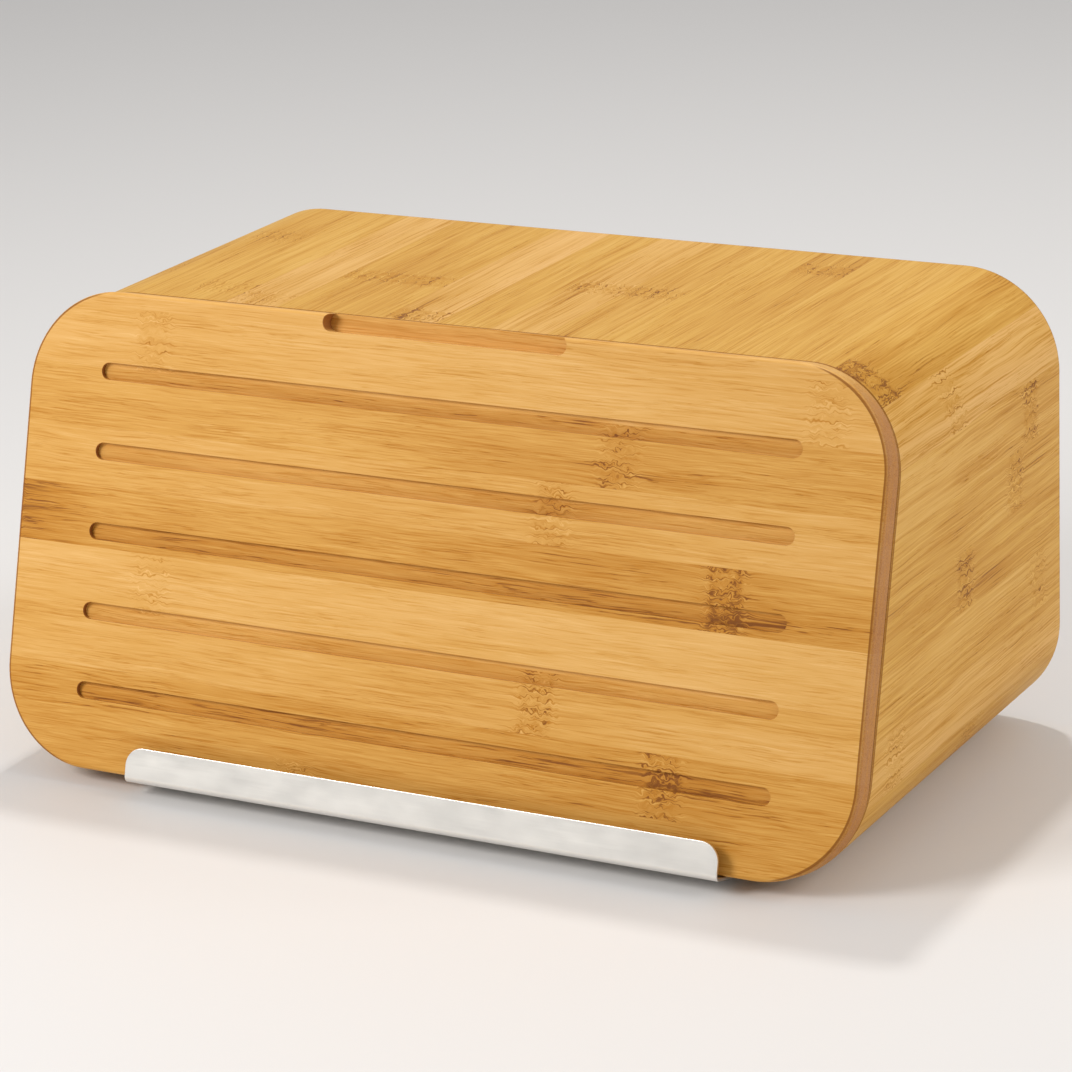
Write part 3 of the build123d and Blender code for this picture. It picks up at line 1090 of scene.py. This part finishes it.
class BREADBOX_OT_board(bpy.types.Operator):
    """Cut the board upright on the bench, then lean it on the rim."""

    bl_idname = "bread_box.board"
    bl_label = "Cutting board"
    bl_options = {"REGISTER", "UNDO"}

    def execute(self, context):
        board = settings("board")
        body = settings("box")
        tall = (SHELL_HIGH.z - SHELL_LOW.z) / math.cos(SLANT)
        back = -board.gap
        face = back - board.thickness
        piece = blank("cutting_board", (SHELL_LOW.x, face, 0), (SHELL_HIGH.x, back, tall))
        round_corners(piece, TO_REAR, body.corner, BEND_STEPS)
        round_off(piece, "FACE", board.arris, 5, lambda part: abs(part.normal.y) > ALIGNED)
        length = SHELL_HIGH.x - SHELL_LOW.x - 2 * board.groove_margin
        for i in range(board.grooves):
            height = tall / 2 + (i - (board.grooves - 1) / 2) * board.groove_spacing
            low, high = height - board.groove_width / 2, height + board.groove_width / 2
            cut(piece, slot_cutter(
                "groove", length, board.groove_depth, low, high, face, board.groove_floor))
        low, high = tall - board.recess_height, tall + board.recess_runout
        cut(piece, slot_cutter(
            "recess", board.recess_length, board.recess_depth, low, high, face, board.recess_floor))
        round_off(piece, "EDGE", board.fine_arris, 3, sharp)
        lay_grain(piece, lambda point: (point.x, point.z, point.y - face))
        piece.rotation_euler = (-SLANT, 0, 0)
        piece.location = rim_foot()
        settle(piece)
        smooth(piece)
        material = bamboo("bamboo_board", BOARD_STRIPS, BOARD_FIRST, BOARD_EXTRA, face=OUTWARD, seed=2.0)
        hand_over(piece, "lid", "bamboo_board", material, "lid_board")
        return {"FINISHED"}


# ---- the lip, its screws and the feet


def near_line(point, place):
    """Whether a point lies on the line across the box through a place."""
    return (point - place).yz.length < TOUCH


class BREADBOX_OT_lip(bpy.types.Operator):
    """Fold the steel lip from a strip of sheet, thicken it and sink its screw holes."""

    bl_idname = "bread_box.lip"
    bl_label = "Steel lip"
    bl_options = {"REGISTER", "UNDO"}

    def execute(self, context):
        lip = settings("lip")
        board = settings("board")
        inner = board.gap + board.thickness + lip.channel
        ledge = on_slant(board.gap / math.tan(SLANT), -board.gap)
        corner = on_slant(inner, -board.gap)
        top = on_slant(inner, lip.flange - lip.sheet - board.gap)
        rear = rim_foot().y + lip.plate
        put_down()
        bpy.ops.mesh.primitive_plane_add(
            size=1, location=((LIP_LOW.x + LIP_HIGH.x) / 2, (ledge.y + rear) / 2, SHELL_LOW.z))
        bpy.context.object.scale = (LIP_HIGH.x - LIP_LOW.x, rear - ledge.y, 1)
        piece = named("steel_lip")
        work_on(piece)
        for start, end in ((ledge, corner), (corner, top)):
            choose(piece, "EDGE", lambda edge: runs(edge, ACROSS) and near_line(middle(edge), start))
            bpy.ops.mesh.extrude_region_move(TRANSFORM_OT_translate={"value": end - start})
        outer_bend = (lip.ledge_bend + lip.sheet) * math.tan(SLANT / 2)
        for place, width, steps in ((ledge, outer_bend, 4), (corner, lip.fold, 6)):
            choose(piece, "EDGE", lambda edge: runs(edge, ACROSS) and near_line(middle(edge), place))
            bevel(width, steps)
        choose(piece, "VERT", lambda point: near_line(point.co, top))
        bevel(lip.flange_corner, 10, "VERTICES")
        choose(piece, "VERT", lambda point: abs(point.co.y - rear) < TOUCH)
        bevel(lip.plate_corner, 6, "VERTICES")
        bpy.ops.mesh.select_all(action="SELECT")
        bpy.ops.mesh.normals_make_consistent(inside=False)
        plate = [face for face in bmesh.from_edit_mesh(piece.data).faces if abs(face.normal.z) > ALIGNED]
        if plate[0].normal.z < 0:
            bpy.ops.mesh.flip_normals()
        put_down()
        carry_out(piece, "SOLIDIFY", thickness=lip.sheet, offset=-1, use_even_offset=True)
        sinks = []
        for centre in lip_screw_centres():
            spare = lip.sheet / 4
            slope = (lip.head - settings("box").pilot) / 2 / lip.sheet
            wide = lip.head / 2 + lip.head_gap + slope * spare
            narrow = settings("box").pilot / 2 + lip.head_gap - slope * spare
            put_down()
            bpy.ops.mesh.primitive_cone_add(
                vertices=40, radius1=wide, radius2=narrow, depth=lip.sheet + 2 * spare,
                location=(centre.x, centre.y, SHELL_LOW.z - lip.sheet / 2))
            sinks.append(named("countersink"))
        cut(piece, gather(sinks))
        round_off(piece, "EDGE", lip.burr, FINE_STEPS, lambda edge: sharp(edge, 70))
        smooth(piece)
        hand_over(piece, "box", "stainless_sheet", satin_steel("satin_steel"), "lip_bracket")
        return {"FINISHED"}


class BREADBOX_OT_screws(bpy.types.Operator):
    """Give both sets of screws their steel."""

    bl_idname = "bread_box.screws"
    bl_label = "Screws"
    bl_options = {"REGISTER", "UNDO"}

    def execute(self, context):
        material = screw_steel("screw_steel")
        for node in ("lip_screws", "foot_screws"):
            piece = frame["nodes"][node]
            piece.data.materials.clear()
            piece.data.materials.append(material)
        return {"FINISHED"}


def widest_face(piece, way):
    """In edit mode, the largest of the faces that look one way."""
    faces = [face for face in bmesh.from_edit_mesh(piece.data).faces if faces_way(face, way)]
    return max(faces, key=lambda face: face.calc_area())


class BREADBOX_OT_feet(bpy.types.Operator):
    """Mould one rubber foot with its pocket and bore, and copy it to all four places."""

    bl_idname = "bread_box.feet"
    bl_label = "Rubber feet"
    bl_options = {"REGISTER", "UNDO"}

    def execute(self, context):
        feet = settings("feet")
        centres = foot_centres()
        low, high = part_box(FEET[0])
        tall = high.z - low.z
        top = (high.x - low.x) / 2
        put_down()
        bpy.ops.mesh.primitive_cone_add(
            vertices=64, radius1=feet.tread / 2, radius2=top, depth=tall, location=(0, 0, tall / 2))
        master = named("foot_master")
        pocket_top = tall - feet.web
        work_on(master)
        choose(master, "FACE", lambda face: faces_way(face, -UPWARD))
        bevel(feet.edge, 4)
        choose(master, "FACE", lambda face: faces_way(face, -UPWARD) and centre_of(face).xy.length < TOUCH)
        flat = max(corner.co.xy.length for corner in widest_face(master, -UPWARD).verts)
        bpy.ops.mesh.inset(thickness=flat - feet.pocket / 2)
        bpy.ops.mesh.extrude_region_move(TRANSFORM_OT_translate={"value": (0, 0, pocket_top)})
        bpy.ops.mesh.inset(thickness=(feet.pocket - feet.bore) / 2)
        bpy.ops.mesh.extrude_region_move(TRANSFORM_OT_translate={"value": (0, 0, feet.web)})
        bpy.ops.mesh.delete(type="FACE")
        choose(master, "FACE", lambda face: faces_way(face, UPWARD)
               and abs(centre_of(face).z - tall) < TOUCH)
        bpy.ops.mesh.inset(thickness=top - feet.bore / 2)
        bpy.ops.mesh.delete(type="FACE")
        bpy.ops.mesh.select_all(action="SELECT")
        bpy.ops.mesh.remove_doubles(threshold=2 * TOUCH)
        put_down()
        rubber = foot_rubber("foot_rubber")
        for name, centre in centres.items():
            foot = copied(master, name.replace("foot", "rubber_foot"), (centre.x, centre.y, 0))
            smooth(foot, 40)
            hand_over(foot, "box", "foot_rubber", rubber, name)
        bpy.data.objects.remove(master)
        return {"FINISHED"}


# ---- stage

# Where each lamp hangs, the side of its square, and its colour.
KEY_LAMP = ((-0.19, 0.68, 1.75), 0.11, (1.0, 0.985, 0.95))
FILL_LAMP = ((-0.80, -1.20, 1.00), 0.60, (1.0, 0.98, 0.95))
SIDE_LAMP = ((1.50, 0.30, 0.95), 0.90, (1.0, 0.98, 0.95))
ROOM_COLOUR = (1.0, 0.99, 0.975, 1.0)
BOX_MIDDLE = Vector((0, 0, 0.1))
FLOOR_RADIUS = 14

CAMERA_PLACE = Vector((0.75484, -1.34351, 0.60032))
CAMERA_YAW = math.radians(29.0738)
CAMERA_PITCH = math.radians(18.268)
CAMERA_ROLL = math.radians(-2.563)


def hang_lamp(name, power, place, span, colour):
    """A square soft lamp that looks at the middle of the box."""
    data = bpy.data.lights.new(name, "AREA")
    data.energy = power
    data.color = colour
    data.size = span
    made = bpy.data.objects.new(name, data)
    made.location = place
    made.rotation_euler = (BOX_MIDDLE - Vector(place)).to_track_quat("-Z", "Y").to_euler()
    bpy.context.scene.collection.objects.link(made)


def light_the_room(strength):
    """Pale even light from all round."""
    world = bpy.data.worlds.new("soft_room")
    world.use_nodes = True
    room = world.node_tree.nodes["Background"]
    room.inputs["Color"].default_value = ROOM_COLOUR
    room.inputs["Strength"].default_value = strength
    bpy.context.scene.world = world


def set_camera(lens):
    """Stand the camera in front of the box, to the right and above."""
    data = bpy.data.cameras.new("camera")
    data.sensor_width = 36
    data.lens = lens
    data.clip_start = 0.05
    camera = bpy.data.objects.new("camera", data)
    turn = Matrix.Rotation(CAMERA_YAW, 4, "Z")
    turn = turn @ Matrix.Rotation(math.pi / 2 - CAMERA_PITCH, 4, "X")
    turn = turn @ Matrix.Rotation(CAMERA_ROLL, 4, "Z")
    camera.matrix_world = Matrix.Translation(CAMERA_PLACE) @ turn
    bpy.context.scene.collection.objects.link(camera)
    bpy.context.scene.camera = camera


def plain_floor(look):
    """A wide pale floor."""
    f = Finish("pale_floor")
    x, y, z = f.place()
    cloud = f.noise(x / 330, y / 330, z / 1000, 2.0)
    return f.close({"Base Color": f.mix(cloud * 0.3, look.floor, [part * 0.98 for part in look.floor]),
                    "Roughness": 0.55 + cloud * 0.05})


class BREADBOX_OT_stage(bpy.types.Operator):
    """Lay the floor, hang the lamps and set up the camera."""

    bl_idname = "bread_box.stage"
    bl_label = "Stage"
    bl_options = {"REGISTER", "UNDO"}

    def execute(self, context):
        look = settings("stage")
        put_down()
        bpy.ops.mesh.primitive_circle_add(
            vertices=96, radius=FLOOR_RADIUS, fill_type="NGON", location=(0, 0, 0))
        floor = named("floor")
        floor.data.materials.append(plain_floor(look))
        light_the_room(look.air)
        hang_lamp("key_lamp", look.key, *KEY_LAMP)
        hang_lamp("fill_lamp", look.fill, *FILL_LAMP)
        hang_lamp("side_lamp", look.side, *SIDE_LAMP)
        bpy.context.scene.view_settings.view_transform = "Standard"
        set_camera(look.lens)
        return {"FINISHED"}


# ---- operators and panel

OPERATORS = (
    BREADBOX_OT_wrap,
    BREADBOX_OT_floor_panel,
    BREADBOX_OT_back_panel,
    BREADBOX_OT_board,
    BREADBOX_OT_lip,
    BREADBOX_OT_screws,
    BREADBOX_OT_feet,
    BREADBOX_OT_stage,
)

GROUPS = {
    "box": BreadBoxBody,
    "board": BreadBoxBoard,
    "lip": BreadBoxLip,
    "feet": BreadBoxFeet,
    "bamboo": BreadBoxBamboo,
    "metal": BreadBoxMetal,
    "stage": BreadBoxStage,
}


class BREADBOX_PT_panel(bpy.types.Panel):
    """Lists the pieces and their settings."""

    bl_label = "Bread Box"
    bl_space_type = "VIEW_3D"
    bl_region_type = "UI"
    bl_category = "Bread Box"

    def draw(self, context):
        for made in OPERATORS:
            self.layout.operator(made.bl_idname)
        for name, group in GROUPS.items():
            column = self.layout.column()
            column.label(text=name.capitalize())
            for key in group.__annotations__:
                column.prop(settings(name), key)


def register():
    """Add the settings, the operators and the panel."""
    for name, group in GROUPS.items():
        bpy.utils.register_class(group)
        setattr(bpy.types.Scene, f"bread_box_{name}", bpy.props.PointerProperty(type=group))
    for made in OPERATORS:
        bpy.utils.register_class(made)
    bpy.utils.register_class(BREADBOX_PT_panel)


def unregister():
    """Take them away again."""
    bpy.utils.unregister_class(BREADBOX_PT_panel)
    for made in reversed(OPERATORS):
        bpy.utils.unregister_class(made)
    for name, group in GROUPS.items():
        delattr(bpy.types.Scene, f"bread_box_{name}")
        bpy.utils.unregister_class(group)


def main():
    """Build the whole box."""
    register()
    for made in OPERATORS:
        getattr(bpy.ops.bread_box, made.bl_idname.split(".")[1])()


if __name__ == "__main__":
    main()
